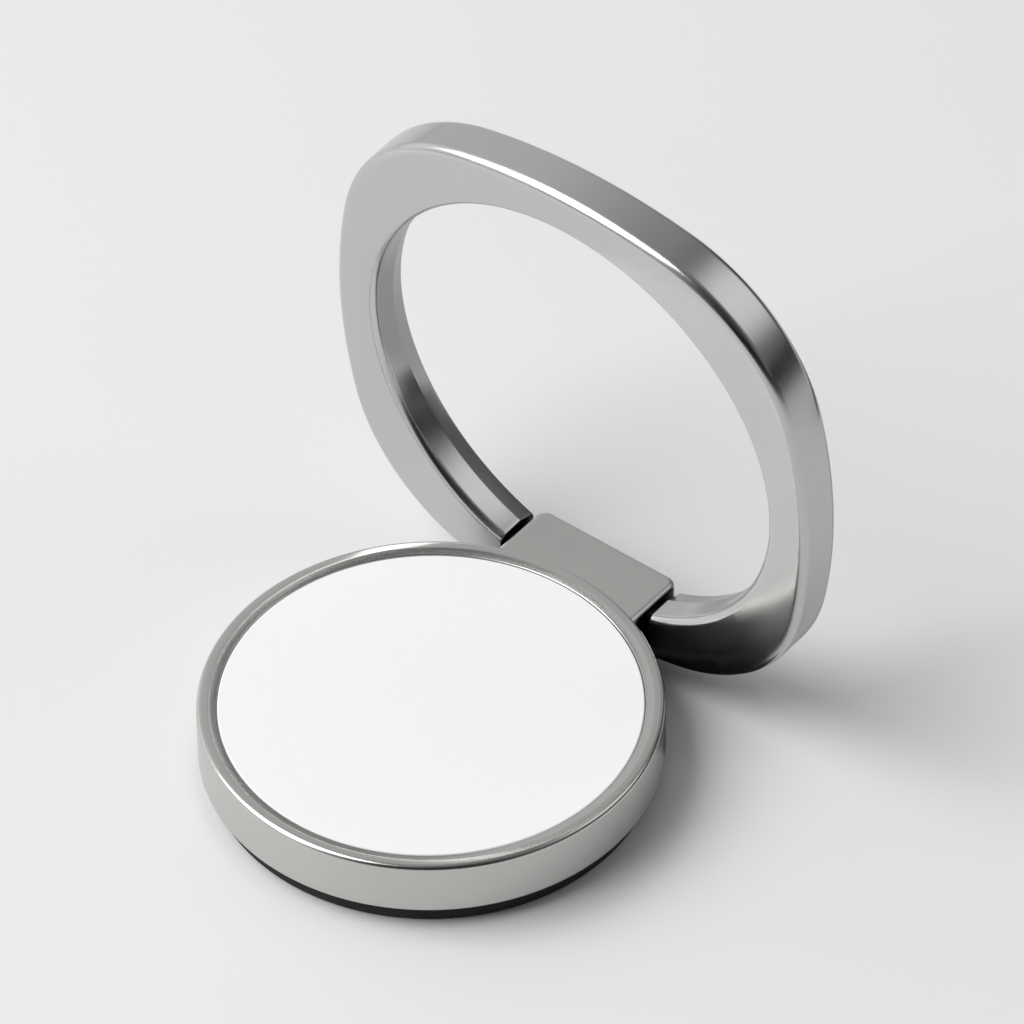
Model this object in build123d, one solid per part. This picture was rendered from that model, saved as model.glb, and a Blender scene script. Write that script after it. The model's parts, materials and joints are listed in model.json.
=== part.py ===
from build123d import *
import os
from math import atan2, degrees, sqrt

# Ring holder: a swivelling disc with a hinged finger ring, stuck to a flat surface by a foam pad.
# The origin is on the disc's axis at the underside of the pad. +Z is up and +Y points at the hinge.
# Millimetres and degrees throughout.

# Foot of the holder
pad_inset = 0.5
pad_thickness = 0.9
plate_thickness = 0.8

# Swivel pieces inside the cup
slip_washer_diameter = 12.0
slip_washer_thickness = 0.15
spring_diameter = 7.2
spring_thickness = 0.2
spring_cone_height = 0.15
rivet_shank_diameter = 3.2
rivet_head_diameter = 6.4
rivet_head_thickness = 0.4
rivet_tail_flare = 0.6
rivet_tail_depth = 0.4

# Cup with its rim and skirt
body_diameter = 23.0
floor_thickness = 0.66
rim_width = 0.99
rim_edge_chamfer = 0.25
rim_bevel_width = 0.4
rim_bevel_drop = 0.12
skirt_wall = 1.75
foot_edge_chamfer = 0.12

# Inlay in the rim
inlay_thickness = 0.58
inlay_sink = 0.12
inlay_edge_chamfer = 0.08

# Hinge lug on the cup, with the pin and its spring sleeve
lug_width = 8.6
lug_reach = 1.15
lug_drop = 0.05
lug_end_wall = 0.7
lug_corner_radius = 0.6
lug_edge_chamfer = 0.25
pin_diameter = 1.2
pin_engagement = 2.5
pin_end_chamfer = 0.15
sleeve_wall = 0.25
sleeve_slot = 0.45
sleeve_inset = 0.3

# Finger ring
ring_wall = 2.4
ring_thickness = 2.6
ring_side_radius = 30.0
ring_corner_radius = 10.0
ring_edge_radius = 0.5
ring_mouth_chamfer = 0.45
ring_end_chamfer = 0.3
ring_lean = 2.0

# Clearances
foot_gap = 0.25
swivel_clearance = 0.02
plate_clearance = 0.25
shank_clearance = 0.05
washer_clearance = 0.15
chamber_clearance = 0.4
head_clearance = 0.1
seat_clearance = 0.02
inlay_clearance = 0.03
pin_clearance = 0.03
pin_end_clearance = 0.2
hinge_side_clearance = 0.3
fold_gap = 0.7

# How far a cutting tool runs on past the face it cuts
cut_margin = 1.0

# Heights of the stack, from the mounting surface up
plate_bottom = pad_thickness
plate_top = plate_bottom + plate_thickness
floor_bottom = plate_top + slip_washer_thickness + swivel_clearance
floor_top = floor_bottom + floor_thickness
spring_bottom = floor_top + swivel_clearance
head_bottom = spring_bottom + spring_thickness + spring_cone_height
head_top = head_bottom + rivet_head_thickness
inlay_bottom = head_top + head_clearance
inlay_top = inlay_bottom + inlay_thickness
rim_top = inlay_top + inlay_sink
foot_bottom = pad_thickness + foot_gap
body_height = rim_top - foot_bottom

# Radii that fit one piece to another
body_radius = body_diameter / 2
shank_radius = rivet_shank_diameter / 2
floor_hole_radius = shank_radius + shank_clearance
loose_hole_radius = shank_radius + washer_clearance
pocket_radius = body_radius - rim_width
inlay_radius = pocket_radius - inlay_clearance
chamber_radius = spring_diameter / 2 + chamber_clearance
recess_radius = body_radius - skirt_wall
plate_radius = recess_radius - plate_clearance
pad_radius = body_radius - pad_inset
pin_radius = pin_diameter / 2
sleeve_inner_radius = pin_radius + pin_clearance
sleeve_outer_radius = sleeve_inner_radius + sleeve_wall
lug_bore_radius = sleeve_outer_radius + seat_clearance
pin_hole_radius = pin_radius + seat_clearance

# Hinge axis, halfway up the lug
lug_height = body_height - lug_drop
hinge_y = body_radius + lug_reach
hinge_z = foot_bottom + lug_height / 2
hinge_place = Pos(0, hinge_y, hinge_z)

# Ring outline: the hole is concentric with the disc when the ring is folded round it
ring_hole_radius = body_radius + fold_gap
ring_half_width = ring_hole_radius + ring_wall
ring_gap_half = lug_width / 2 + hinge_side_clearance


def turned(*outline):
    """Solid turned about the Z axis from a closed outline of (radius, height) corners."""
    corners = [(radius, 0, height) for radius, height in outline]
    return revolve(make_face(Polyline(corners, close=True)), Axis.Z)


def disc(radius, bottom, top):
    """Plain round disc on the Z axis between two heights."""
    return Pos(0, 0, bottom) * extrude(Circle(radius), top - bottom)


def rod_along_hinge(radius, start, end):
    """Round rod on the hinge axis from one place to another along X."""
    return Pos(start, 0, 0) * extrude(Plane.YZ * Circle(radius), end - start)


def make_adhesive_pad():
    return disc(pad_radius, 0, pad_thickness)


def make_base_plate():
    """Round plate with a countersink in its underside for the rivet's spread tail."""
    hole = shank_radius + seat_clearance
    return turned(
        (hole, plate_bottom + rivet_tail_depth),
        (hole + rivet_tail_flare, plate_bottom),
        (plate_radius, plate_bottom),
        (plate_radius, plate_top),
        (hole, plate_top),
    )


def make_swivel_rivet():
    """Flat-headed rivet: head in the cup, shank through its floor, tail spread in the base plate."""
    head = rivet_head_diameter / 2
    return turned(
        (0, plate_bottom),
        (shank_radius + rivet_tail_flare, plate_bottom),
        (shank_radius, plate_bottom + rivet_tail_depth),
        (shank_radius, head_bottom),
        (head, head_bottom),
        (head, head_top),
        (0, head_top),
    )


def make_slip_washer():
    ring = disc(slip_washer_diameter / 2, plate_top, plate_top + slip_washer_thickness)
    return ring - disc(loose_hole_radius, plate_bottom, floor_top)


def make_disc_spring():
    """Conical washer: its outer edge bears on the cup's floor and its inner edge on the rivet head."""
    outer = spring_diameter / 2
    inner = loose_hole_radius
    return turned(
        (outer, spring_bottom),
        (outer, spring_bottom + spring_thickness),
        (inner, head_bottom),
        (inner, head_bottom - spring_thickness),
    )


def make_lug():
    """Flat tab rooted in the cup's wall, with its outer corners rounded and its edges broken."""
    root = sqrt(pocket_radius**2 - (lug_width / 2) ** 2)
    length = hinge_y + lug_bore_radius + lug_end_wall - root
    plan = Pos(0, root + length / 2) * Rectangle(lug_width, length)
    plan = fillet(plan.vertices().sort_by(Axis.Y)[-2:], lug_corner_radius)
    lug = Pos(0, 0, foot_bottom) * extrude(plan, lug_height)
    return chamfer(lug.faces().filter_by(Axis.Z).edges(), lug_edge_chamfer)


def make_holder_body():
    """Cup and lug as one casting: stepped pocket above, recess below, bore along the hinge."""
    cup = disc(body_radius, foot_bottom, rim_top)
    cup = chamfer(cup.edges().sort_by(Axis.Z)[-1], rim_edge_chamfer)
    cup = chamfer(cup.edges().sort_by(Axis.Z)[0], foot_edge_chamfer)
    above = rim_top + cut_margin
    pocket = turned(
        (0, floor_top),
        (chamber_radius, floor_top),
        (chamber_radius, inlay_bottom),
        (pocket_radius, inlay_bottom),
        (pocket_radius, rim_top - rim_bevel_drop),
        (pocket_radius + rim_bevel_width, rim_top),
        (pocket_radius + rim_bevel_width, above),
        (0, above),
    )
    recess = disc(recess_radius, foot_bottom - cut_margin, floor_bottom)
    rivet_hole = disc(floor_hole_radius, foot_bottom, above)
    bore = hinge_place * rod_along_hinge(lug_bore_radius, -lug_width, lug_width)
    return cup + make_lug() - pocket - recess - rivet_hole - bore


def make_inlay():
    plate = disc(inlay_radius, inlay_bottom, inlay_top)
    return chamfer(plate.edges().sort_by(Axis.Z)[-1], inlay_edge_chamfer)


def make_friction_sleeve():
    """Slotted tube in the lug's bore, with its slot on the underside."""
    wall = Circle(sleeve_outer_radius) - Circle(sleeve_inner_radius)
    slot = Pos(0, -sleeve_outer_radius) * Rectangle(sleeve_slot, 2 * sleeve_outer_radius)
    half_length = lug_width / 2 - sleeve_inset
    return hinge_place * extrude(Plane.YZ * (wall - slot), half_length, both=True)


def make_hinge_pin():
    half_length = ring_gap_half + pin_engagement
    pin = rod_along_hinge(pin_radius, -half_length, half_length)
    return hinge_place * chamfer(pin.edges().filter_by(GeomType.CIRCLE), pin_end_chamfer)


def make_ring_outline():
    """Cushion square: four side arcs and four corner arcs, each tangent to its neighbours."""
    side_shift = ring_side_radius - ring_half_width
    radius_step = ring_side_radius - ring_corner_radius
    corner = (sqrt(2 * radius_step**2 - side_shift**2) - side_shift) / 2
    half_sweep = degrees(atan2(corner, corner + side_shift))
    arcs = []
    for turn in range(0, 360, 90):
        side = CenterArc((-side_shift, 0), ring_side_radius, -half_sweep, 2 * half_sweep)
        bend = CenterArc((corner, corner), ring_corner_radius, half_sweep, 90 - 2 * half_sweep)
        arcs += [Rot(Z=turn) * side, Rot(Z=turn) * bend]
    return make_face(arcs)


def make_finger_ring():
    """Cushion outside with rounded edges, round hole inside, open at the lug, standing at its lean."""
    profile = Pos(0, hinge_y) * (make_ring_outline() - Circle(ring_hole_radius))
    ring = extrude(Plane.XZ * profile, ring_thickness / 2, both=True)
    faces = ring.faces().filter_by(Axis.Y)
    mouths = [edge for face in faces for wire in face.inner_wires() for edge in wire.edges()]
    ring = chamfer(mouths, ring_mouth_chamfer)
    faces = ring.faces().filter_by(Axis.Y)
    ring = fillet([edge for face in faces for edge in face.outer_wire().edges()], ring_edge_radius)
    ring -= Box(2 * ring_gap_half, 2 * ring_thickness, 2 * hinge_y)
    ring = chamfer(ring.faces().filter_by(Axis.X).edges(), ring_end_chamfer)
    depth = ring_gap_half + pin_engagement + pin_end_clearance
    ring -= rod_along_hinge(pin_hole_radius, -depth, depth)
    return hinge_place * Rot(X=ring_lean) * ring


pieces = {
    "adhesive_pad": make_adhesive_pad,
    "base_plate": make_base_plate,
    "swivel_rivet": make_swivel_rivet,
    "slip_washer": make_slip_washer,
    "disc_spring": make_disc_spring,
    "holder_body": make_holder_body,
    "inlay": make_inlay,
    "friction_sleeve": make_friction_sleeve,
    "hinge_pin": make_hinge_pin,
    "finger_ring": make_finger_ring,
}

os.makedirs("parts", exist_ok=True)
for name, make in pieces.items():
    export_step(make(), f"parts/{name}.step")
    print("wrote", name)
print(f"hinge axis at y {hinge_y:.3f}, z {hinge_z:.3f}, rim top at z {rim_top:.3f}")
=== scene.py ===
# %% [markdown]
# # A stick-on ring holder
#
# The object is a low metal cup with a white face, turning on a black foam pad, with a polished finger
# ring hinged at its edge. The solids of the model arrive ready made and fix every size and place. This
# script gives each of them its finish, and builds smooth surfaces where a faceted solid would show.

# %% Load the frame
import json
import math

import bmesh
import bpy
import numpy as np
from mathutils import Matrix, Vector


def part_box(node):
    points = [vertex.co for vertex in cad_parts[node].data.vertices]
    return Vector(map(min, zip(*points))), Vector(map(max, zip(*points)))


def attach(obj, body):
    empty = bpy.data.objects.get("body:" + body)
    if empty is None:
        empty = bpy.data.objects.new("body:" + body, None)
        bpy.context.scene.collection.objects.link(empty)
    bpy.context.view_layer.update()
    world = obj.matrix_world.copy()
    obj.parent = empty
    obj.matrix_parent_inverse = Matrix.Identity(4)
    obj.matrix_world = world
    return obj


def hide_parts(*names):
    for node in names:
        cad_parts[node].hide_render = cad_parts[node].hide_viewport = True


MM = 0.001

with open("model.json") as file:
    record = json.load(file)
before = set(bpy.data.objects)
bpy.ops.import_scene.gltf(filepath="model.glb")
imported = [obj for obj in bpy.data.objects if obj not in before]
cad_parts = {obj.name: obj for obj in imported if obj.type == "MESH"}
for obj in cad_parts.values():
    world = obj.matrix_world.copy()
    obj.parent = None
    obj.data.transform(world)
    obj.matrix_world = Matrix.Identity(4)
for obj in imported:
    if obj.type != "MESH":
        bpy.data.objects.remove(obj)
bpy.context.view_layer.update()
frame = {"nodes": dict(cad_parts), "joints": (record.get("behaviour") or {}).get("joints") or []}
print("solids:", ", ".join(sorted(frame["nodes"])))

# %% [markdown]
# ## Sizes that the frame gives
#
# A size that can be read from the solids is read, so that the looks follow the model. The hinge is a
# joint of the record, and the pad, the cup, the inlay and the ring give their radii and heights by
# their boxes.

# %% Read the main sizes
_, hinge_y, hinge_z = next(j["pos_m"] for j in frame["joints"] if j["name"] == "ring_hinge")
hinge_place = (0, hinge_y, hinge_z)
pad_low, pad_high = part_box("adhesive_pad")
cup_low, cup_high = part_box("holder_body")
inlay_low, inlay_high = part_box("inlay")
_, ring_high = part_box("finger_ring")
cup_radius = cup_high.x
ring_half_width = ring_high.x
print(f"cup {2 * cup_radius / MM:.2f} mm across, ring {2 * ring_half_width / MM:.2f} mm across")

# %% [markdown]
# ## Sewing grids of points into pieces
#
# Every surface here is a grid of points, worked out as one array. A grid that comes round to its own
# start, or closes in a point, has several points at one place. Sewing merges them, so seams and poles
# are truly closed, and then turns all faces outwards. Making each shape from mesh primitives would be
# quicker, but a formula keeps the rounded edges at their real radius.

# %% Sew and finish
WELD = 1e-7
SHARP_ANGLE = math.radians(35)
FLAT_WEIGHT = 100


def sew(name, *grids):
    """Mesh of several point grids: cells become faces, and points at one place become one point."""
    cells = []
    start = 0
    for grid in grids:
        rows, columns = grid.shape[:2]
        index = start + np.arange(rows * columns).reshape(rows, columns)
        corners = [index[:-1, :-1], index[1:, :-1], index[1:, 1:], index[:-1, 1:]]
        cells.append(np.stack(corners, axis=-1).reshape(-1, 4))
        start += rows * columns
    points = np.concatenate([grid.reshape(-1, 3) for grid in grids])
    lattice = np.round(points / WELD).astype(np.int64)
    _, first, welded = np.unique(lattice, axis=0, return_index=True, return_inverse=True)
    faces = welded.reshape(-1)[np.concatenate(cells)]
    collapsed = faces == np.roll(faces, -1, axis=1)
    quads = faces[collapsed.sum(axis=1) == 0]
    once = collapsed.sum(axis=1) == 1
    triangles = faces[once][~collapsed[once]].reshape(-1, 3)
    mesh = bpy.data.meshes.new(name)
    mesh.from_pydata(points[first].tolist(), [], quads.tolist() + triangles.tolist())
    shell = bmesh.new()
    shell.from_mesh(mesh)
    bmesh.ops.recalc_face_normals(shell, faces=shell.faces)
    shell.to_mesh(mesh)
    shell.free()
    return mesh


def open_edges(mesh):
    """How many edges don't have a face on each side: none, on a closed piece."""
    edges = np.empty(len(mesh.loops), np.int32)
    mesh.loops.foreach_get("edge_index", edges)
    return int(np.count_nonzero(np.bincount(edges, minlength=len(mesh.edges)) != 2))


def report(mesh):
    """Prints how many faces a mesh has, and whether it is closed."""
    print(f"{mesh.name}: {len(mesh.polygons)} faces, {open_edges(mesh)} open edges")


def add_piece(mesh, finish, body, node):
    """Finished piece: smooth faces with its flats kept flat, riding on a body in place of a solid."""
    mesh.polygons.foreach_set("use_smooth", np.ones(len(mesh.polygons), bool))
    mesh.set_sharp_from_angle(angle=SHARP_ANGLE)
    mesh.materials.clear()
    mesh.materials.append(finish)
    piece = bpy.data.objects.new(mesh.name, mesh)
    bpy.context.scene.collection.objects.link(piece)
    flats = piece.modifiers.new("flats stay flat", "WEIGHTED_NORMAL")
    flats.keep_sharp = True
    flats.weight = FLAT_WEIGHT
    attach(piece, body)
    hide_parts(node)
    report(mesh)


print(f"points weld within {WELD / MM:.4f} mm")
print(f"edges stay sharp over {math.degrees(SHARP_ANGLE):.0f} degrees")

# %% [markdown]
# ## Outlines with rounded corners
#
# Most of the pieces were turned, stamped or cast round an axis, and their edges are never quite sharp:
# a small radius is what catches the light. An outline is a short list of corners, each with its own
# radius, and each corner is replaced by the arc that touches both of its sides.

# %% Round an outline and turn it
ARC_STEPS = 8
TURN_STEPS = 288


def rounded(corners):
    """Closed outline from (x, y, radius) corners. Each corner becomes an arc that touches both sides:
    its centre is on the corner's bisector, radius / sin(half the corner's angle) away."""
    points = np.array([corner[:2] for corner in corners])
    pieces = []
    for here, before, after, corner in zip(points, np.roll(points, 1, 0), np.roll(points, -1, 0), corners):
        radius = corner[2]
        if radius == 0:
            pieces.append(here[None])
            continue
        back = (before - here) / np.linalg.norm(before - here)
        ahead = (after - here) / np.linalg.norm(after - here)
        half = math.acos(np.clip(back @ ahead, -1, 1)) / 2
        centre = here + (back + ahead) / np.linalg.norm(back + ahead) * radius / math.sin(half)
        reach = radius / math.tan(half)
        begin = here + back * reach - centre
        end = here + ahead * reach - centre
        sweep = math.pi - 2 * half
        share = np.linspace(0, 1, ARC_STEPS + 1)[:, None]
        arc = (np.sin((1 - share) * sweep) * begin + np.sin(share * sweep) * end) / math.sin(sweep)
        pieces.append(centre + arc)
    return np.concatenate(pieces + [pieces[0][:1]])


def turned(outline, steps=TURN_STEPS):
    """Surface of revolution: outline point (r, z) at angle a goes to (r cos a, r sin a, z)."""
    angle = np.linspace(0, 2 * math.pi, steps + 1)[:, None]
    radius = outline[None, :, 0]
    height = np.broadcast_to(outline[None, :, 1], (steps + 1, len(outline)))
    return np.stack([radius * np.cos(angle), radius * np.sin(angle), height], axis=-1)


print(f"each rounded corner has {ARC_STEPS} steps, each turned piece {TURN_STEPS}")

# %% [markdown]
# ## Nodes by name
#
# A material is a tree of nodes. Wiring it by hand in the editor is the usual way. In a script, a few
# short helpers make a node and hand on its output, so that a finish reads like a list of sums.

# %% Helpers for nodes


def feed(tree, socket, value):
    """Links a socket to another one, or sets its own constant."""
    if isinstance(value, bpy.types.NodeSocket):
        tree.links.new(value, socket)
    else:
        socket.default_value = value


def node(tree, kind, inputs=(), **settings):
    """New node with its settings, and with its inputs fed by name or by number."""
    made = tree.nodes.new(kind)
    for name, value in settings.items():
        setattr(made, name, value)
    for name, value in dict(inputs).items():
        feed(tree, made.inputs[name], value)
    return made


def sums(tree, operation, *values):
    """Result of a Math node on the given values."""
    return node(tree, "ShaderNodeMath", enumerate(values), operation=operation).outputs[0]


def split(tree, vector):
    """X, Y and Z of a vector."""
    return node(tree, "ShaderNodeSeparateXYZ", {"Vector": vector}).outputs


def join(tree, **parts):
    """Vector of the given X, Y and Z, with 0 for one that is left out."""
    return node(tree, "ShaderNodeCombineXYZ", parts).outputs["Vector"]


def length(tree, vector):
    """Length of a vector."""
    return node(tree, "ShaderNodeVectorMath", {0: vector}, operation="LENGTH").outputs["Value"]


def between(tree, value, low, high):
    """Value of 0 to 1 spread over the range from low to high."""
    spread = {"Value": value, "To Min": low, "To Max": high}
    return node(tree, "ShaderNodeMapRange", spread).outputs["Result"]


def ramp(tree, value, start, end):
    """Smooth step: 0 up to start and 1 from end on, or the other way round where end is the lower one."""
    span = {"Value": value, "From Min": start, "From Max": end}
    return node(tree, "ShaderNodeMapRange", span, interpolation_type="SMOOTHSTEP").outputs["Result"]


def soft_noise(tree, place, scale, detail, low, high):
    """Noise of 0 to 1, with the part of its range from low to high stretched over the whole."""
    noise = node(tree, "ShaderNodeTexNoise", {"Vector": place, "Scale": scale, "Detail": detail})
    return ramp(tree, noise.outputs["Fac"], low, high)


node_helpers = (feed, node, sums, split, join, length, between, ramp, soft_noise)
print("helpers for nodes:", ", ".join(helper.__name__ for helper in node_helpers))

# %% [markdown]
# ## Effects that several finishes share
#
# Plated metal is never quite even. Three effects recur: a fine grain, slow clouds in the gloss, and the
# hairlines that a polishing wheel or a lathe leaves round an axis. A fourth is painted shade: the narrow
# gaps of the hinge are darkened in colour, standing in for the shade that falls there. Painted images
# could show them too, but noise needs no unwrapping. Each is a node group with named inputs and outputs,
# placed in a material with its own values.

# %% Node groups
# Reach of the painted shade in the hinge gap, away from the hinge's axis
GAP_SHADE_NEAR = 2.0 * MM
GAP_SHADE_FAR = 2.5 * MM


def new_group(name, inputs, output):
    """Empty node group with a vector input, named number inputs and one output."""
    group = bpy.data.node_groups.new(name, "ShaderNodeTree")
    group.interface.new_socket("Vector", in_out="INPUT", socket_type="NodeSocketVector")
    for label in inputs:
        group.interface.new_socket(label, in_out="INPUT", socket_type="NodeSocketFloat")
    group.interface.new_socket(output, in_out="OUTPUT", socket_type="NodeSocketFloat")
    return group, group.nodes.new("NodeGroupInput").outputs, group.nodes.new("NodeGroupOutput").inputs


def make_grain_group():
    """Fine grain: rough noise whose lumps have the given size."""
    group, given, result = new_group("Fine grain", ["Size"], "Grain")
    scale = sums(group, "DIVIDE", 1.0, given["Size"])
    grain = soft_noise(group, given["Vector"], scale, detail=3.0, low=0.3, high=0.7)
    group.links.new(grain, result["Grain"])
    return group


def make_cloud_group():
    """Slow clouds: soft noise of the given size, for gloss and tone that drift over a surface."""
    group, given, result = new_group("Finish cloud", ["Size"], "Cloud")
    scale = sums(group, "DIVIDE", 1.0, given["Size"])
    cloud = soft_noise(group, given["Vector"], scale, detail=1.5, low=0.25, high=0.75)
    group.links.new(cloud, result["Cloud"])
    return group


def make_hairline_group():
    """Hairlines round the Z axis: noise at (distance from the centre / width, angle times breaks,
    height / width), so it is fine across and long along the arc."""
    group, given, result = new_group("Hairlines", ["Width", "Breaks"], "Lines")
    parts = split(group, given["Vector"])
    across = sums(group, "DIVIDE", length(group, given["Vector"]), given["Width"])
    angle = sums(group, "ARCTAN2", parts["X"], parts["Y"])
    along = sums(group, "MULTIPLY", angle, given["Breaks"])
    up = sums(group, "DIVIDE", parts["Z"], given["Width"])
    place = join(group, X=across, Y=along, Z=up)
    lines = soft_noise(group, place, 1.0, detail=2.0, low=0.3, high=0.7)
    group.links.new(lines, result["Lines"])
    return group


def make_gap_shade_group():
    """Painted shade in the hinge gap: a step from lit to dark with the distance along the hinge, times a
    step that fades it out with the distance from the hinge."""
    group, given, result = new_group("Gap residue", ["Clean", "Dark"], "Mask")
    parts = split(group, given["Vector"])
    dark = ramp(group, sums(group, "ABSOLUTE", parts["X"]), given["Clean"], given["Dark"])
    away = length(group, join(group, Y=parts["Y"], Z=parts["Z"]))
    near = ramp(group, away, GAP_SHADE_FAR, GAP_SHADE_NEAR)
    group.links.new(sums(group, "MULTIPLY", dark, near), result["Mask"])
    return group


GRAIN = make_grain_group()
CLOUD = make_cloud_group()
HAIRLINES = make_hairline_group()
GAP_SHADE = make_gap_shade_group()
print("shared effects:", ", ".join(group.name for group in bpy.data.node_groups))

# %% [markdown]
# ## From effects to a finish
#
# A finish is one Principled shader. What is the same everywhere is set on its sockets, and only what
# changes over the surface comes through nodes: the colour, the roughness and the bend of the normal.
# Patterns are placed by Object coordinates, which stay with a piece when it moves.

# %% Helpers for materials
# A Mix node has several sockets of one name, so those for colours are found by their number.
MIX_FIRST = 6
MIX_SECOND = 7
MIX_RESULT = 2


def new_finish(name, **constants):
    """Material with one Principled shader whose constant sockets are set directly."""
    finish = bpy.data.materials.new(name)
    finish.use_nodes = True
    tree = finish.node_tree
    tree.nodes.clear()
    shader = node(tree, "ShaderNodeBsdfPrincipled")
    for socket, value in constants.items():
        shader.inputs[socket.replace("_", " ")].default_value = value
    output = tree.nodes.new("ShaderNodeOutputMaterial")
    tree.links.new(shader.outputs["BSDF"], output.inputs["Surface"])
    return finish, tree, shader.inputs


def place_on(tree, centre=(0, 0, 0), tilt=0.0):
    """Object coordinates seen from a piece's own centre, with its axis tilted about X onto Z."""
    coordinates = tree.nodes.new("ShaderNodeTexCoord").outputs["Object"]
    mapping = {"Vector": coordinates, "Location": centre, "Rotation": (tilt, 0, 0)}
    return node(tree, "ShaderNodeMapping", mapping, vector_type="TEXTURE").outputs["Vector"]


def effect(tree, group, vector, **values):
    """Output of a shared effect, placed with its own values."""
    return node(tree, "ShaderNodeGroup", {"Vector": vector, **values}, node_tree=group).outputs[0]


def blend(tree, mask, first, second):
    """Colour that goes from the first to the second with a mask."""
    inputs = {"Factor": mask, MIX_FIRST: first, MIX_SECOND: second}
    return node(tree, "ShaderNodeMix", inputs, data_type="RGBA").outputs[MIX_RESULT]


def tones(tree, mask, colour, dark, light=1.0):
    """Colour that goes from a dark share to a light share of itself with a mask."""
    first, second = [(*(share * part for part in colour), 1) for share in (dark, light)]
    return blend(tree, mask, first, second)


def bump(tree, height, depth, normal=None):
    """Normal bent by a height field whose full step is the given depth."""
    made = node(tree, "ShaderNodeBump", {"Height": height, "Distance": depth, "Strength": 1.0})
    if normal is not None:
        tree.links.new(normal, made.inputs["Normal"])
    return made.outputs["Normal"]


def dress(tree, shader, colour, roughness, normal):
    """Feeds the three sockets of a shader that change over the surface."""
    tree.links.new(colour, shader["Base Color"])
    tree.links.new(roughness, shader["Roughness"])
    tree.links.new(normal, shader["Normal"])


material_helpers = (new_finish, place_on, effect, blend, tones, bump, dress)
print("helpers for materials:", ", ".join(helper.__name__ for helper in material_helpers))

# %% [markdown]
# ## Polished nickel
#
# The ring is a zinc casting, polished on a wheel and nickel plated. It mirrors its surroundings, but
# softly: the wheel leaves hairlines along the ring, and the plate's gloss drifts a little. The finish
# takes its place from the ring's own centre, so that the hairlines follow the ring. Its two ends face
# the lug across a narrow gap, and their colour is darkened there as painted shade.

# %% Make the polished nickel
RING_LEAN = math.radians(2)
RING_CENTRE = (0, hinge_y - hinge_y * math.sin(RING_LEAN), hinge_z + hinge_y * math.cos(RING_LEAN))
LUG_WIDTH = 8.6 * MM
HINGE_GAP = 0.3 * MM
# Where the painted shade in the hinge gap starts and where it is full, past the ring's ends
GAP_SHADE_START = 0.08 * MM
GAP_SHADE_FULL = 0.02 * MM
NICKEL = (0.55, 0.55, 0.545)
# Dark colour painted into the hinge gap as shade
PAINTED_SHADE = (0.02, 0.02, 0.02)

lug_side = LUG_WIDTH / 2
ring_end = lug_side + HINGE_GAP


def with_gap_shade(tree, colour, lit, dark):
    """Colour with painted shade in the hinge gap: it turns dark from a lit to a dark distance along the
    hinge.
    """
    # The gap is painted dark: painted shade where little light gets in
    gap_shade = effect(tree, GAP_SHADE, place_on(tree, hinge_place), Clean=lit, Dark=dark)
    return blend(tree, gap_shade, colour, (*PAINTED_SHADE, 1))


def make_polished_nickel():
    """Mirror-like plate with clouds in its gloss and faint hairlines along the ring."""
    finish, tree, shader = new_finish("polished nickel", Metallic=1.0)
    along_ring = place_on(tree, RING_CENTRE, math.pi / 2 + RING_LEAN)
    cloud = effect(tree, CLOUD, along_ring, Size=4 * MM)
    lines = effect(tree, HAIRLINES, along_ring, Width=0.05 * MM, Breaks=3.0)
    plate = tones(tree, cloud, NICKEL, dark=0.97)
    # The ring's ends are painted dark in the hinge gap: painted shade
    colour = with_gap_shade(tree, plate, lit=ring_end + GAP_SHADE_START, dark=ring_end + GAP_SHADE_FULL)
    clouded = between(tree, cloud, low=0.17, high=0.21)
    scratched = between(tree, lines, low=0.0, high=0.04)
    wave = bump(tree, cloud, depth=0.004 * MM)
    normal = bump(tree, lines, depth=0.0002 * MM, normal=wave)
    dress(tree, shader, colour, sums(tree, "ADD", clouded, scratched), normal)
    return finish


polished_nickel = make_polished_nickel()
print("made", polished_nickel.name)

# %% [markdown]
# ## Satin nickel
#
# The cup and its lug have the same plate over a blasted surface, so they scatter light and look warmer.
# The rim was cut bright afterwards. A second material could be given to its faces, but a mask of height
# and radius finds it without a seam, and lowers the roughness there. The lug's two sides have the same
# painted shade as the ring's ends: their colour is darkened in the hinge gap.

# %% Make the satin nickel
SATIN = (0.57, 0.565, 0.55)
RIM_BAND = 0.35 * MM


def rim_mask(tree, place):
    """Mask of the bright rim: high up on the cup, and not outside its radius."""
    parts = split(tree, place)
    radius = length(tree, join(tree, X=parts["X"], Y=parts["Y"]))
    high = ramp(tree, parts["Z"], cup_high.z - RIM_BAND, cup_high.z - RIM_BAND / 2)
    outside = ramp(tree, radius, cup_radius - RIM_BAND / 4, cup_radius + RIM_BAND / 4)
    return sums(tree, "SUBTRACT", high, sums(tree, "MULTIPLY", high, outside))


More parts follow.
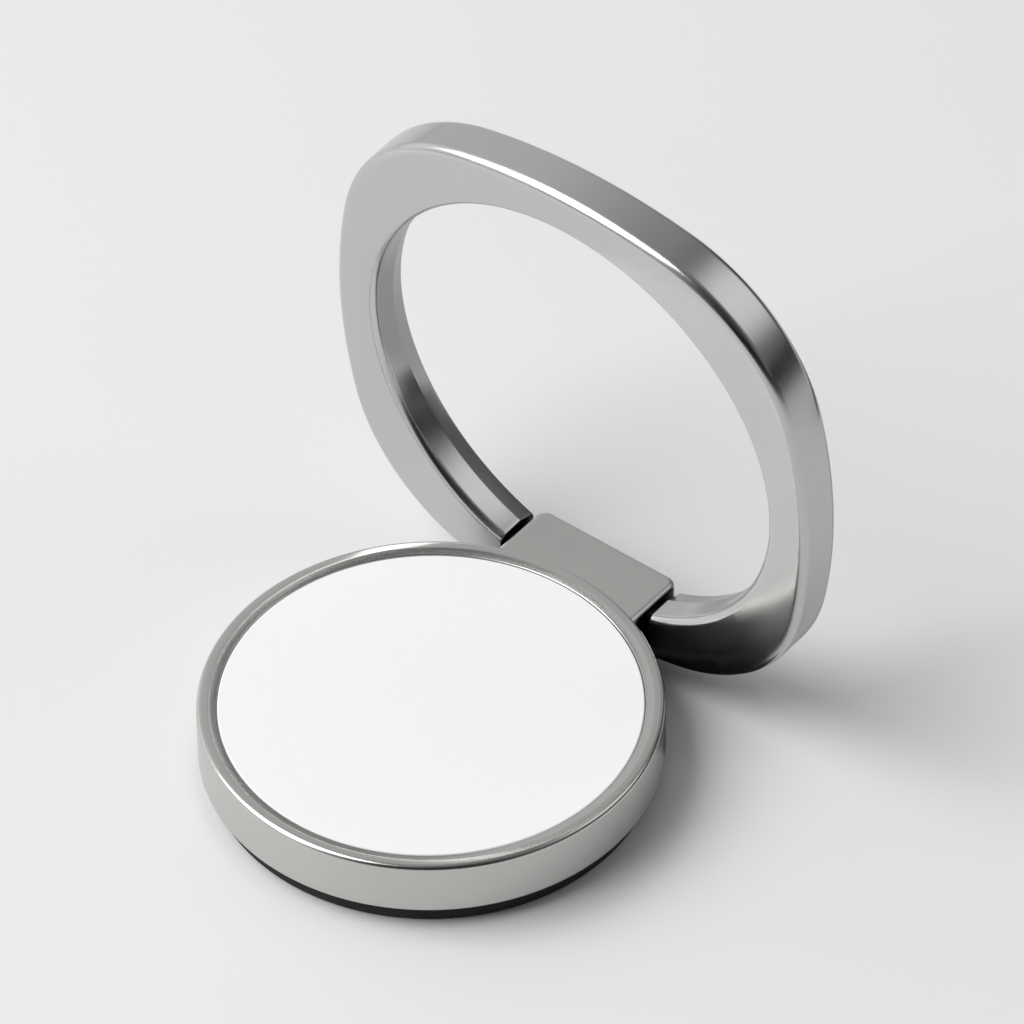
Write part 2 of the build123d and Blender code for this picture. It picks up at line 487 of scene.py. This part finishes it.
def make_satin_nickel():
    """Blasted plate with a fine grain, and a rim that has hairlines in place of the grain."""
    finish, tree, shader = new_finish("satin nickel", Metallic=1.0)
    place = place_on(tree)
    rim = rim_mask(tree, place)
    cloud = effect(tree, CLOUD, place, Size=3 * MM)
    grain = effect(tree, GRAIN, place, Size=0.09 * MM)
    lines = effect(tree, HAIRLINES, place, Width=0.04 * MM, Breaks=4.0)
    plate = tones(tree, cloud, SATIN, dark=0.96)
    # The lug's sides are painted dark in the hinge gap: painted shade
    colour = with_gap_shade(tree, plate, lit=lug_side - GAP_SHADE_START, dark=lug_side - GAP_SHADE_FULL)
    clouded = between(tree, cloud, low=0.30, high=0.36)
    satin = sums(tree, "ADD", clouded, between(tree, grain, low=0.0, high=0.05))
    bright = between(tree, lines, low=0.15, high=0.22)
    roughness = node(tree, "ShaderNodeMix", {"Factor": rim, "A": satin, "B": bright}).outputs["Result"]
    height = sums(tree, "SUBTRACT", grain, sums(tree, "MULTIPLY", grain, rim))
    dress(tree, shader, colour, roughness, bump(tree, height, depth=0.0012 * MM))
    return finish


satin_nickel = make_satin_nickel()
print("made", satin_nickel.name)

# %% [markdown]
# ## White lacquer, foam, steel and nylon
#
# The inlay is a plate with a white lacquer, which levels to a faint orange peel. The pad is a closed-cell
# foam, black and dull, with its cells open at the cut edge. The hidden swivel pieces are bright steel,
# with the marks of rolling and turning, and one washer is plain nylon. Plain colours would nearly do for
# them, but a little drift in tone and gloss keeps them from looking like toys.

# %% Make the other finishes
LACQUER = (0.9, 0.9, 0.9)
FOAM = (0.02, 0.02, 0.021)
FOAM_CELL = 0.12 * MM
STEEL = (0.55, 0.55, 0.56)
NYLON = (0.78, 0.77, 0.72)


def make_white_lacquer():
    """Nearly even white with a faint orange peel."""
    finish, tree, shader = new_finish("white lacquer", Specular_IOR_Level=0.2)
    place = place_on(tree)
    peel = effect(tree, CLOUD, place, Size=0.7 * MM)
    dust = effect(tree, GRAIN, place, Size=0.15 * MM)
    colour = tones(tree, dust, LACQUER, dark=0.985)
    roughness = between(tree, peel, low=0.5, high=0.58)
    dress(tree, shader, colour, roughness, bump(tree, peel, depth=0.0008 * MM))
    return finish


def make_black_foam():
    """Dull mottled black, pitted by the foam's cells."""
    finish, tree, shader = new_finish("black foam", IOR=1.45)
    place = place_on(tree)
    cell_place = {"Vector": place, "Scale": 1 / FOAM_CELL}
    cells = node(tree, "ShaderNodeTexVoronoi", cell_place).outputs["Distance"]
    mottle = effect(tree, CLOUD, place, Size=1.5 * MM)
    colour = tones(tree, mottle, FOAM, dark=0.7, light=1.4)
    roughness = between(tree, mottle, low=0.8, high=0.95)
    dress(tree, shader, colour, roughness, bump(tree, cells, depth=0.04 * MM))
    return finish


def make_bright_steel():
    """Rolled or turned steel with hairlines round the disc's axis."""
    finish, tree, shader = new_finish("bright steel", Metallic=1.0)
    place = place_on(tree)
    cloud = effect(tree, CLOUD, place, Size=2.5 * MM)
    lines = effect(tree, HAIRLINES, place, Width=0.06 * MM, Breaks=5.0)
    colour = tones(tree, cloud, STEEL, dark=0.92)
    clouded = between(tree, cloud, low=0.22, high=0.28)
    roughness = sums(tree, "ADD", clouded, between(tree, lines, low=0.0, high=0.1))
    dress(tree, shader, colour, roughness, bump(tree, lines, depth=0.001 * MM))
    return finish


def make_nylon():
    """Natural nylon, slightly clouded and grained."""
    finish, tree, shader = new_finish("natural nylon", IOR=1.53)
    place = place_on(tree)
    cloud = effect(tree, CLOUD, place, Size=2 * MM)
    grain = effect(tree, GRAIN, place, Size=0.1 * MM)
    colour = tones(tree, cloud, NYLON, dark=0.94)
    roughness = between(tree, grain, low=0.4, high=0.5)
    dress(tree, shader, colour, roughness, bump(tree, grain, depth=0.002 * MM))
    return finish


white_lacquer = make_white_lacquer()
black_foam = make_black_foam()
bright_steel = make_bright_steel()
nylon = make_nylon()
print("made", ", ".join(finish.name for finish in (white_lacquer, black_foam, bright_steel, nylon)))

# %% [markdown]
# ## Foam pad
#
# The pad is a punched disc of foam with adhesive on both faces. Its cut edge bulges a little where the
# disc was pressed on, which a larger radius on the edge gives. A cylinder with a bevel would do too, but
# the outline is needed for the other turned pieces anyway.

# %% Make the pad
PAD_EDGE = 0.2 * MM


def disc_outline(radius, bottom, top, low_edge, high_edge):
    """Closed outline of a plain disc, with its two edges rounded."""
    return rounded([(0, bottom, 0), (radius, bottom, low_edge), (radius, top, high_edge), (0, top, 0)])


pad_outline = disc_outline(pad_high.x, pad_low.z, pad_high.z, PAD_EDGE, PAD_EDGE)
add_piece(sew("foam_pad", turned(pad_outline)), black_foam, "base", "adhesive_pad")

# %% [markdown]
# ## Cup
#
# The cup is turned: a rim round a shallow pocket for the inlay, a deeper well for the rivet head, and a
# recess below that hides the base plate. The rim is rounded outside, has a narrow flat crest, and slopes
# down to the white face. Cutting the hollows out of a cylinder would take several Booleans, but the
# outline is closed, so it is turned whole.

# %% Turn the cup
RIM_WIDTH = 0.99 * MM
RIM_EDGE = 0.26 * MM
RIM_SLOPE = 0.42 * MM
RIM_DROP = 0.12 * MM
RIM_BEND = 0.3 * MM
MOUTH_EDGE = 0.06 * MM
FOOT_EDGE = 0.12 * MM
SKIRT_WALL = 1.75 * MM
WELL_RADIUS = 4.0 * MM
WELL_DEPTH = 0.87 * MM
FLOOR_THICKNESS = 0.66 * MM
RIVET_HOLE = 1.65 * MM
SMALL_EDGE = 0.05 * MM

pocket_radius = cup_radius - RIM_WIDTH
recess_radius = cup_radius - SKIRT_WALL
well_floor = inlay_low.z - WELL_DEPTH
recess_top = well_floor - FLOOR_THICKNESS
cup_outline = rounded(
    [
        (RIVET_HOLE, recess_top, 0),
        (recess_radius, recess_top, SMALL_EDGE),
        (recess_radius, cup_low.z, SMALL_EDGE),
        (cup_radius, cup_low.z, FOOT_EDGE),
        (cup_radius, cup_high.z, RIM_EDGE),
        (pocket_radius + RIM_SLOPE, cup_high.z, RIM_BEND),
        (pocket_radius, cup_high.z - RIM_DROP, MOUTH_EDGE),
        (pocket_radius, inlay_low.z, SMALL_EDGE),
        (WELL_RADIUS, inlay_low.z, SMALL_EDGE),
        (WELL_RADIUS, well_floor, SMALL_EDGE),
        (RIVET_HOLE, well_floor, 0),
    ]
)
cup_mesh = sew("cup", turned(cup_outline))
report(cup_mesh)

# %% [markdown]
# ## Hinge lug
#
# The lug is a flat tab with rounded corners, bored along the hinge for the spring sleeve. It could be a
# bevelled box, but one grid makes it whole: its outline in plan is carried from the underside to the top,
# drawn in along a quarter circle at both edges, and closed to a point in the middle of each flat.

# %% Make the lug
LUG_CORNER = 0.6 * MM
LUG_EDGE = 0.28 * MM
LUG_DROP = 0.05 * MM
LUG_LIFT = 0.02 * MM
FLAT_MARGIN = 0.1 * MM
LUG_ROOT = 11.05 * MM
ROOT_STEPS = 24


def lug_plan(inset):
    """Tab outline in plan, drawn in by an inset: a root on an arc inside the rim, and two rounded
    corners at the end."""
    half = lug_side - inset
    end = cup_high.y - inset
    bend = LUG_CORNER - inset
    reach = math.asin(half / LUG_ROOT)
    turn = np.linspace(-reach, reach, ROOT_STEPS + 1)
    root = LUG_ROOT * np.column_stack([np.sin(turn), np.cos(turn)])
    tip = rounded([(*root[-1], 0), (half, end, bend), (-half, end, bend), (*root[0], 0)])
    return np.concatenate([root, tip[1:-2], root[:1]])


def tab(bottom, top):
    """Grid of a flat tab: at turn t of an edge its outline is drawn in by edge (1 - cos t). One more row
    just inside each flat keeps the shading of the edge off the flat."""
    turn = np.linspace(0, math.pi / 2, ARC_STEPS + 1)
    inset = np.append(LUG_EDGE * (1 - np.cos(turn)), LUG_EDGE + FLAT_MARGIN)
    drop = np.append(LUG_EDGE * (1 - np.sin(turn)), 0)
    levels = [(drawn_in, bottom + lift) for drawn_in, lift in zip(inset[::-1], drop[::-1])]
    levels += [(drawn_in, top - lift) for drawn_in, lift in zip(inset, drop)]
    rows = [np.insert(lug_plan(drawn_in), 2, height, axis=1) for drawn_in, height in levels]
    middles = [np.broadcast_to(row.mean(axis=0), row.shape) for row in (rows[0], rows[-1])]
    return np.array([middles[0], *rows, middles[1]])


lug_mesh = sew("lug", tab(cup_low.z + LUG_LIFT, cup_high.z - LUG_DROP))
report(lug_mesh)

# %% [markdown]
# ## One casting
#
# Cup and lug are one casting. Two pieces pushed into each other would look much the same, but here their
# closed shells are united with a Boolean, and the bore is cut with another. That leaves one skin, with a
# crisp line where the lug's lower top meets the rim.

# %% Unite cup and lug and bore the hinge
BORE_RADIUS = 0.9 * MM
ROD_STEPS = 96


def combined(name, operation, first, second):
    """Mesh of a Boolean of two closed meshes."""
    holders = [bpy.data.objects.new(mesh.name, mesh) for mesh in (first, second)]
    for holder in holders:
        bpy.context.scene.collection.objects.link(holder)
    joining = holders[0].modifiers.new("boolean", "BOOLEAN")
    joining.operation = operation
    joining.solver = "EXACT"
    joining.object = holders[1]
    seen = holders[0].evaluated_get(bpy.context.evaluated_depsgraph_get())
    mesh = bpy.data.meshes.new_from_object(seen)
    mesh.name = name
    for holder in holders:
        bpy.data.objects.remove(holder)
    return mesh


def rod_on_hinge(radius, half_length):
    """Grid of a round rod along the hinge: its outline turned about Z, and Z then laid along X."""
    low, high = -half_length, half_length
    outline = np.array([(0, low), (radius, low), (radius, high), (0, high)])
    return turned(outline, ROD_STEPS)[..., [2, 0, 1]] + hinge_place


bore_mesh = sew("bore", rod_on_hinge(BORE_RADIUS, LUG_WIDTH))
casting = combined("solid_casting", "UNION", cup_mesh, lug_mesh)
casting = combined("cup_and_lug", "DIFFERENCE", casting, bore_mesh)
add_piece(casting, satin_nickel, "holder", "holder_body")

# %% [markdown]
# ## White face
#
# The inlay is a flat plate that lies just below the rim. Its top edge has a small round, which draws the
# thin line between white and metal. It is a turned disc like the pad, with other edges.

# %% Make the inlay
INLAY_EDGE = 0.08 * MM

face_outline = disc_outline(inlay_high.x, inlay_low.z, inlay_high.z, SMALL_EDGE, INLAY_EDGE)
add_piece(sew("white_face", turned(face_outline)), white_lacquer, "holder", "inlay")

# %% [markdown]
# ## Finger ring
#
# The ring is the showpiece: a cushion square outside, a round hole inside, and an opening at the bottom
# that holds the lug. Its long edges are rounded, and the back edge of its hole is a wide bevel. A bevel
# modifier would not know the true curves, so the section is carried round the ring by formula. Each point
# of the section keeps its distance from the outer or the inner wall, measured along that wall's normal.

# %% Cushion curve
RING_HOLE = 12.2 * MM
SIDE_RADIUS = 30.0 * MM
CORNER_RADIUS = 10.0 * MM

side_shift = SIDE_RADIUS - ring_half_width
radius_step = SIDE_RADIUS - CORNER_RADIUS
corner_shift = (math.sqrt(2 * radius_step**2 - side_shift**2) - side_shift) / 2
half_sweep = math.atan2(corner_shift, corner_shift + side_shift)


def heading(angle):
    """Unit direction in the ring's plane, with angle 0 down at the hinge and turning towards +X."""
    return np.stack([np.sin(angle), -np.cos(angle)], axis=-1)


def cushion(angle, inset):
    """Point of the cushion whose outward normal has that angle, moved in along the normal. Four side
    arcs and four corner arcs share their tangents, so the normal's angle finds the arc's centre."""
    side = np.round(angle / (math.pi / 2)) * (math.pi / 2)
    off = angle - side
    across = heading(side + np.copysign(math.pi / 2, off))
    on_side = (np.abs(off) <= half_sweep)[..., None]
    centre = np.where(on_side, -side_shift * heading(side), corner_shift * (heading(side) + across))
    radius = np.where(on_side, SIDE_RADIUS, CORNER_RADIUS)
    return centre + (radius - inset[..., None]) * heading(angle)


def hole(angle, inset):
    """Point of the round hole at that angle, moved out into the ring."""
    return (RING_HOLE + inset[..., None]) * heading(angle)


print(f"each side arc spans {2 * math.degrees(half_sweep):.1f} degrees")

# %% [markdown]
# ## The ring's section
#
# Cut across, the ring is a tall block with five rounded corners: two outside, two at the ends of the
# bevel, and one at the front of the hole. Each corner is an arc between two flats. Only the arcs need
# points, because the flats between them are straight.

# %% Section of the ring
RING_THICKNESS = 2.6 * MM
OUTER_EDGE = 0.5 * MM
INNER_EDGE = 0.45 * MM
BEVEL_DEPTH = 1.05 * MM
BEVEL_DROP = 0.32 * MM
RIDGE_EDGE = 0.2 * MM
BACK_EDGE = 0.15 * MM
EDGE_STEPS = 10
FRONT = -math.pi / 2
BACK = math.pi / 2

half_depth = RING_THICKNESS / 2
bevel = math.atan2(BEVEL_DROP, BEVEL_DEPTH)


def edge_arc(out, level, radius, start, end):
    """Rounded corner of the section, between faces whose normals have two angles. Its rows are the arc's
    centre, radius and angle. The centre lies back from the sharp corner along the sum of both normals,
    by radius / (1 + cosine of the angle between them)."""
    turn = np.linspace(start, end, EDGE_STEPS + 1)
    back = radius / (1 + math.cos(end - start))
    arc_out = out - back * (math.cos(start) + math.cos(end))
    arc_level = level - back * (math.sin(start) + math.sin(end))
    return np.vstack([np.outer([arc_out, arc_level, radius], np.ones_like(turn)), turn])


outer_edges = [
    edge_arc(0, -half_depth, OUTER_EDGE, FRONT, 0),
    edge_arc(0, half_depth, OUTER_EDGE, 0, BACK),
]
inner_edges = [
    edge_arc(-BEVEL_DROP, half_depth, BACK_EDGE, BACK, bevel),
    edge_arc(0, half_depth - BEVEL_DEPTH, RIDGE_EDGE, bevel, 0),
    edge_arc(0, -half_depth, INNER_EDGE, 0, FRONT),
]
section = np.concatenate([*outer_edges, *inner_edges, outer_edges[0][:, :1]], axis=1)
centre_out, centre_level, edge_radius, edge_turn = section[:, None, :]
on_outer_wall = np.ones(section.shape[1], bool)
on_outer_wall[len(outer_edges) * (EDGE_STEPS + 1) : -1] = False
print(f"section: {section.shape[1] - 1} points, back bevel at {math.degrees(bevel):.1f} degrees")

# %% [markdown]
# ## The ring's stations
#
# The section stands at many stations from one end of the ring to the other. At the ends it also shrinks
# along a small quarter circle, so that the cut faces have rounded edges. The ends are cut straight, at one
# distance from the middle of the lug, so each point of the section has its own angle there.

# %% Stations of the ring
END_EDGE = 0.12 * MM
RING_STEPS = 420

end_turn = np.linspace(math.pi / 2, 0, ARC_STEPS + 1)[:-1]
end_cut = ring_end + END_EDGE * (1 - np.sin(end_turn))
end_inset = END_EDGE * (1 - np.cos(end_turn))
along = np.linspace(0, 1, RING_STEPS + 1)
share = np.concatenate([np.zeros(ARC_STEPS), along, np.ones(ARC_STEPS)])[:, None]
cut = np.concatenate([end_cut, np.full(RING_STEPS + 1, ring_end + END_EDGE), end_cut[::-1]])[:, None]
inset = np.concatenate([end_inset, np.zeros(RING_STEPS + 1), end_inset[::-1]])[:, None]
print(f"ring: {share.size} stations")

# %% Carry the section round the ring
# An end's angle halfway through the wall, as a share of its angle at the hole
WALL_MIDDLE = 0.9


def normal_angle(share, end_angle):
    """Angle of the cushion's normal along the ring. It runs evenly over each arc, and the arcs share
    the way by the angle that they take up at the ring's centre. The ends stop at their own angle."""
    reach = corner_shift + CORNER_RADIUS * np.array([math.sin(half_sweep), math.cos(half_sweep)])
    joint = math.atan2(reach[0], reach[1])
    turns = np.arange(0, 4) * math.pi / 2
    joints = np.sort(np.concatenate([turns + joint, turns + math.pi / 2 - joint]))
    normals = np.sort(np.concatenate([turns + half_sweep, turns + math.pi / 2 - half_sweep]))
    first = math.asin(ring_end / RING_HOLE) * WALL_MIDDLE
    places = np.concatenate([[0], (joints - first) / (2 * math.pi - 2 * first), [1]])
    rest = np.concatenate([[half_sweep], normals, [2 * math.pi - half_sweep]])
    even = np.interp(share, places, rest)
    start = np.clip(1 - share / places[1], 0, 1)
    finish = np.clip(1 - (1 - share) / places[1], 0, 1)
    return even + (end_angle - half_sweep) * (start - finish)


def ring_surface():
    """Grid of the upright ring, seen from the hinge: stations along it, section points across it. Each
    point lies its distance inside the outer wall or outside the hole."""
    wall = -centre_out - (edge_radius - inset) * np.cos(edge_turn)
    level = centre_level + (edge_radius - inset) * np.sin(edge_turn)
    outer = cushion(normal_angle(share, np.arcsin(cut / (SIDE_RADIUS - wall))), wall)
    hole_end = np.arcsin(cut / (RING_HOLE + wall))
    inner = hole(hole_end + share * (2 * math.pi - 2 * hole_end), wall)
    flat = np.where(on_outer_wall[None, :, None], outer, inner)
    return np.stack([flat[..., 0], level, flat[..., 1] + hinge_y], axis=-1)


upright = ring_surface()
print(f"upright ring: {upright.shape[0]} stations of {upright.shape[1]} points")

# %% [markdown]
# ## Pin holes and lean
#
# The hinge pin sits in a blind hole in each end of the ring. More Booleans could drill them, but a few
# more rows at both ends of the grid do the same: the hole's mouth, its depth and its closed bottom. The
# ring then leans a little towards the disc and goes to its hinge.

# %% Drill and lean the ring
PIN_HOLE_RADIUS = 0.62 * MM
PIN_HOLE_DEPTH = 2.7 * MM


def pin_hole(end_row, way):
    """Rows from an end face into its blind hole. The mouth has the directions of the end's own outline,
    seen from the hinge, at the hole's radius."""
    arm = end_row * (0, 1, 1)
    mouth = PIN_HOLE_RADIUS * arm / np.linalg.norm(arm, axis=1)[:, None] + (way * ring_end, 0, 0)
    deep = mouth + (way * PIN_HOLE_DEPTH, 0, 0)
    bottom = deep * (1, 0, 0)
    return np.array([mouth, deep, bottom])


first_hole = pin_hole(upright[0], 1)[::-1]
last_hole = pin_hole(upright[-1], -1)
drilled = np.concatenate([first_hole, upright, last_hole])
lean = np.array(Matrix.Rotation(RING_LEAN, 3, "X"))
ring_points = drilled @ lean.T + hinge_place
add_piece(sew("polished_ring", ring_points), polished_nickel, "ring", "finger_ring")

# %% [markdown]
# ## Hidden pieces
#
# The swivel and the hinge work inside the cup and the lug. Their solids are right as they are, and get
# the finish of bright steel or nylon.

# %% Finish the hidden pieces
hidden_finishes = {
    "base_plate": bright_steel,
    "swivel_rivet": bright_steel,
    "disc_spring": bright_steel,
    "friction_sleeve": bright_steel,
    "hinge_pin": bright_steel,
    "slip_washer": nylon,
}
for name, finish in hidden_finishes.items():
    solid = frame["nodes"][name]
    solid.data.materials.clear()
    solid.data.materials.append(finish)
print("finished solids:", ", ".join(hidden_finishes))

# %% [markdown]
# ## Floor
#
# A wide pale floor carries the holder and runs out of the picture on all sides. A single plane would do,
# and so does one turn of a straight line.

# %% Make the floor
FLOOR_RADIUS = 3.0
FLOOR_STEPS = 64
FLOOR_CLOUD = 0.05
FLOOR_TONE = (0.8, 0.8, 0.8)


def make_floor_paint():
    """Pale paint whose tone drifts very slightly."""
    finish, tree, shader = new_finish("floor paint", Roughness=0.6)
    cloud = effect(tree, CLOUD, place_on(tree), Size=FLOOR_CLOUD)
    tree.links.new(tones(tree, cloud, FLOOR_TONE, dark=0.985), shader["Base Color"])
    return finish


def add_stage(mesh, finish):
    """Object that isn't part of the holder."""
    mesh.materials.append(finish)
    thing = bpy.data.objects.new(mesh.name, mesh)
    bpy.context.scene.collection.objects.link(thing)
    return thing


floor_edge = np.array([[FLOOR_RADIUS, 0], [0, 0]])
add_stage(sew("floor", turned(floor_edge, FLOOR_STEPS)), make_floor_paint())
print(f"floor {2 * FLOOR_RADIUS:.0f} m across")

# %% [markdown]
# ## Sky
#
# The light is a grey studio sky, brighter on the left and darkest low on the right, with two glowing and
# two dim patches. A photographed studio could light the holder too, but this sky needs no image file, and
# each patch can be moved until the metal shows it in the right place.

# %% Make the sky
SKY_LEFT = 0.68
SKY_RIGHT = 0.25
DARK_SHARE = 0.5


def with_patch(tree, direction, glow, aim, spread, strength):
    """Glow with a soft round patch: the strength is added in full along the aim, and fades out at the
    spread, in degrees. A negative strength makes a dim patch."""
    both = {0: direction, 1: Vector(aim).normalized()}
    toward = node(tree, "ShaderNodeVectorMath", both, operation="DOT_PRODUCT").outputs["Value"]
    near = ramp(tree, toward, math.cos(math.radians(spread)), 1.0)
    return sums(tree, "MULTIPLY_ADD", near, strength, glow)


def sky_glow(tree, direction):
    """Glow of the sky in a direction: a step from left to right, less a share of itself low on the right."""
    parts = split(tree, direction)
    plain = between(tree, ramp(tree, parts["X"], start=-0.65, end=0.0), SKY_LEFT, SKY_RIGHT)
    low = between(tree, ramp(tree, parts["Z"], start=0.2, end=0.55), DARK_SHARE, 0.0)
    dark = sums(tree, "MULTIPLY", low, ramp(tree, parts["X"], start=-0.2, end=0.4))
    return sums(tree, "SUBTRACT", plain, sums(tree, "MULTIPLY", plain, dark))


def make_sky():
    """World whose glow is the plain sky with patches high at the back right, low on the left, at the front
    right and low at the back."""
    world = bpy.data.worlds.new("studio sky")
    world.use_nodes = True
    tree = world.node_tree
    tree.nodes.clear()
    direction = tree.nodes.new("ShaderNodeTexCoord").outputs["Generated"]
    glow = sky_glow(tree, direction)
    glow = with_patch(tree, direction, glow, aim=(0.47, 0.54, 0.7), spread=25.5, strength=0.8)
    glow = with_patch(tree, direction, glow, aim=(-0.95, -0.1, 0.1), spread=35, strength=0.35)
    glow = with_patch(tree, direction, glow, aim=(0.5, -0.6, 0.6), spread=50, strength=-0.2)
    glow = with_patch(tree, direction, glow, aim=(-0.15, 0.97, 0.2), spread=26, strength=-0.2)
    glow = sums(tree, "MAXIMUM", glow, 0.0)
    sky = node(tree, "ShaderNodeBackground", {"Color": glow, "Strength": 1.0})
    output = tree.nodes.new("ShaderNodeOutputWorld")
    tree.links.new(sky.outputs["Background"], output.inputs["Surface"])
    bpy.context.scene.world = world


make_sky()
print("sky:", bpy.context.scene.world.name)

# %% [markdown]
# ## Lamp and cards
#
# One large soft lamp at the front left draws the bright line on the ring's edge. Polished metal shows what
# it mirrors, so four cards are set round it: two upright dark ones on the right, a dark one that lies
# under the ring's right half as a painted shadow of the floor between cup and ring, and a grey one on
# the floor behind. They are seen only in reflections, so the floor shows neither them nor their shadows.

# %% Place the lamp and the cards
CARD_STEPS = 32
CARD_LIFT = 0.1 * MM


def add_lamp(name, direction, distance, size, power):
    """Square soft lamp that looks at the holder from a direction."""
    lamp = bpy.data.lights.new(name, "AREA")
    lamp.size = size
    lamp.energy = power
    stand = bpy.data.objects.new(name, lamp)
    away = Vector(direction).normalized()
    stand.location = away * distance
    stand.rotation_euler = away.to_track_quat("Z", "Y").to_euler()
    bpy.context.scene.collection.objects.link(stand)


def plain_paint(name, tone):
    """Dull grey paint of one even tone."""
    finish, _, _ = new_finish(name, Base_Color=(tone, tone, tone, 1), Roughness=1.0)
    return finish


def add_card(name, finish, radii, heights, start, end):
    """Strip between two arcs about the disc's axis, each with its radius and height, from a start to an
    end angle in degrees. It is seen only in reflections."""
    angle = np.radians(np.linspace(start, end, CARD_STEPS + 1))[:, None]
    radius = np.array(radii)
    height = np.broadcast_to(heights, (CARD_STEPS + 1, len(heights)))
    strip = np.stack([radius * np.cos(angle), radius * np.sin(angle), height], axis=-1)
    card = add_stage(sew(name, strip), finish)
    card.visible_camera = False
    card.visible_diffuse = False
    card.visible_shadow = False


def add_upright_card(name, finish, radius, bottom, top, start, end):
    """Card that stands on an arc about the disc's axis."""
    add_card(name, finish, (radius, radius), (bottom, top), start, end)


def add_flat_card(name, finish, inner, outer, start, end):
    """Card that lies just above the floor."""
    add_card(name, finish, (inner, outer), (CARD_LIFT, CARD_LIFT), start, end)


dark_paint = plain_paint("dark paint", 0.01)
grey_paint = plain_paint("grey paint", 0.5)
add_lamp("key", direction=(-0.47, -0.45, 0.76), distance=0.7, size=0.6, power=5.0)
add_upright_card("far_card", dark_paint, radius=150 * MM, bottom=35 * MM, top=62 * MM, start=-75, end=58)
add_upright_card("near_card", dark_paint, radius=60 * MM, bottom=1 * MM, top=11 * MM, start=43, end=80)
# Painted shadow: a dark card on the floor between cup and ring, standing in for the shade there in
# reflections
add_flat_card("floor_card", dark_paint, inner=11.2 * MM, outer=17 * MM, start=39, end=85)
add_flat_card("back_card", grey_paint, inner=20 * MM, outer=48 * MM, start=55, end=130)
print("lamps:", ", ".join(lamp.name for lamp in bpy.data.lights))

# %% [markdown]
# ## Camera
#
# The view is the photograph's: from the right front, well above the disc, with a long lens that leaves
# the ring's sides nearly parallel. The camera turns to the holder, so that it fills the picture, and is
# rolled by less than a degree.

# %% Place the camera
CAMERA_EYE = Vector((247.9, -298.4, 384.1)) * MM
CAMERA_AIM = Vector((0, 6.5, 12.0)) * MM
CAMERA_LENS = 390
CAMERA_SENSOR = 36
CAMERA_NEAREST = 0.01
CAMERA_ROLL = math.radians(-0.8)

lens = bpy.data.cameras.new("camera")
lens.lens = CAMERA_LENS
lens.sensor_width = CAMERA_SENSOR
lens.clip_start = CAMERA_NEAREST
camera = bpy.data.objects.new("camera", lens)
view_line = CAMERA_AIM - CAMERA_EYE
look = view_line.to_track_quat("-Z", "Y").to_matrix() @ Matrix.Rotation(CAMERA_ROLL, 3, "Z")
camera.matrix_world = Matrix.Translation(CAMERA_EYE) @ look.to_4x4()
bpy.context.scene.collection.objects.link(camera)
bpy.context.scene.camera = camera
bpy.context.scene.view_settings.view_transform = "Standard"
print(f"camera {view_line.length:.3f} m away")
